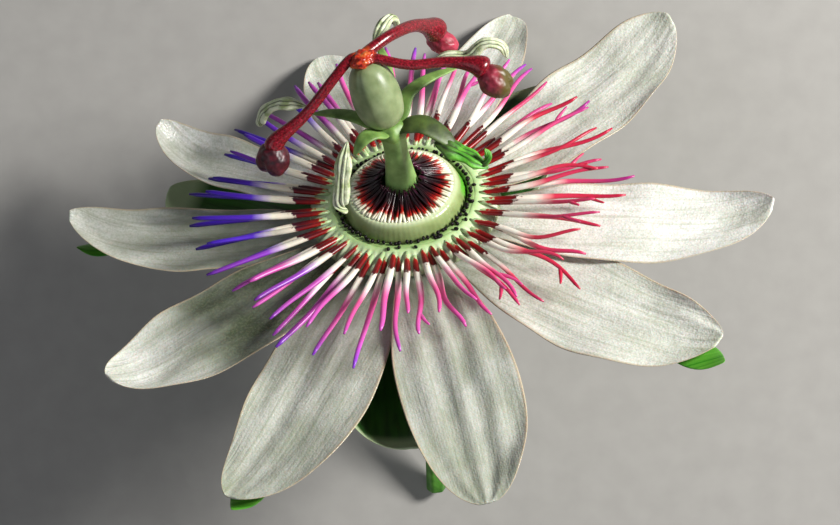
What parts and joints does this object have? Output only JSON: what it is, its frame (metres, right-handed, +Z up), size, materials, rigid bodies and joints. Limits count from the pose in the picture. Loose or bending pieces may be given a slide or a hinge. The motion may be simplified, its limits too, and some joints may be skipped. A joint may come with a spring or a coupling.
{
  "type": "passion flower",
  "caption": "Open passion flower with a ring of banded filaments, cut with its stem and lying on its back tepals.",
  "frame": {"origin": "middle of the underside of the whole flower's box, on the surface that it lies on", "axes": "+Z up; +X along the longest spread of the tepals; +Y away from the cut end of the stem, the way that the flower's face leans"},
  "size_m": [0.0904, 0.0658, 0.0614],
  "materials": {
    "sepal_white": "satin",
    "petal_white": "satin",
    "bract_green": "satin",
    "receptacle_green": "satin",
    "stem_green": "satin",
    "corona_upper_banded": "satin",
    "corona_lower_banded": "satin",
    "pali_black": "matte",
    "operculum_green": "satin",
    "fringe_maroon": "satin",
    "column_green": "satin",
    "ovary_green": "satin",
    "junction_orange": "satin",
    "stamen_green": "satin",
    "anther_cream": "matte",
    "style_red": "satin",
    "stigma_maroon": "satin"
  },
  "bodies": {
    "root": {"sepal_1": "sepal_white", "sepal_2": "sepal_white", "sepal_3": "sepal_white", "sepal_4": "sepal_white", "sepal_5": "sepal_white", "petal_1": "petal_white", "petal_2": "petal_white", "petal_3": "petal_white", "petal_4": "petal_white", "petal_5": "petal_white", "bract_1": "bract_green", "bract_2": "bract_green", "bract_3": "bract_green", "receptacle": "receptacle_green", "stem": "stem_green", "corona_upper": "corona_upper_banded", "corona_lower": "corona_lower_banded", "pali_ring": "pali_black", "operculum": "operculum_green", "operculum_fringe": "fringe_maroon", "column": "column_green", "ovary": "ovary_green", "style_junction": "junction_orange", "stamen_1": "stamen_green", "stamen_2": "stamen_green", "stamen_3": "stamen_green", "stamen_4": "stamen_green", "stamen_5": "stamen_green", "anther_1": "anther_cream", "anther_2": "anther_cream", "anther_3": "anther_cream", "anther_4": "anther_cream", "anther_5": "anther_cream", "style_1": "style_red", "style_2": "style_red", "style_3": "style_red", "stigma_1": "stigma_maroon", "stigma_2": "stigma_maroon", "stigma_3": "stigma_maroon"}
  },
  "joints": []
}
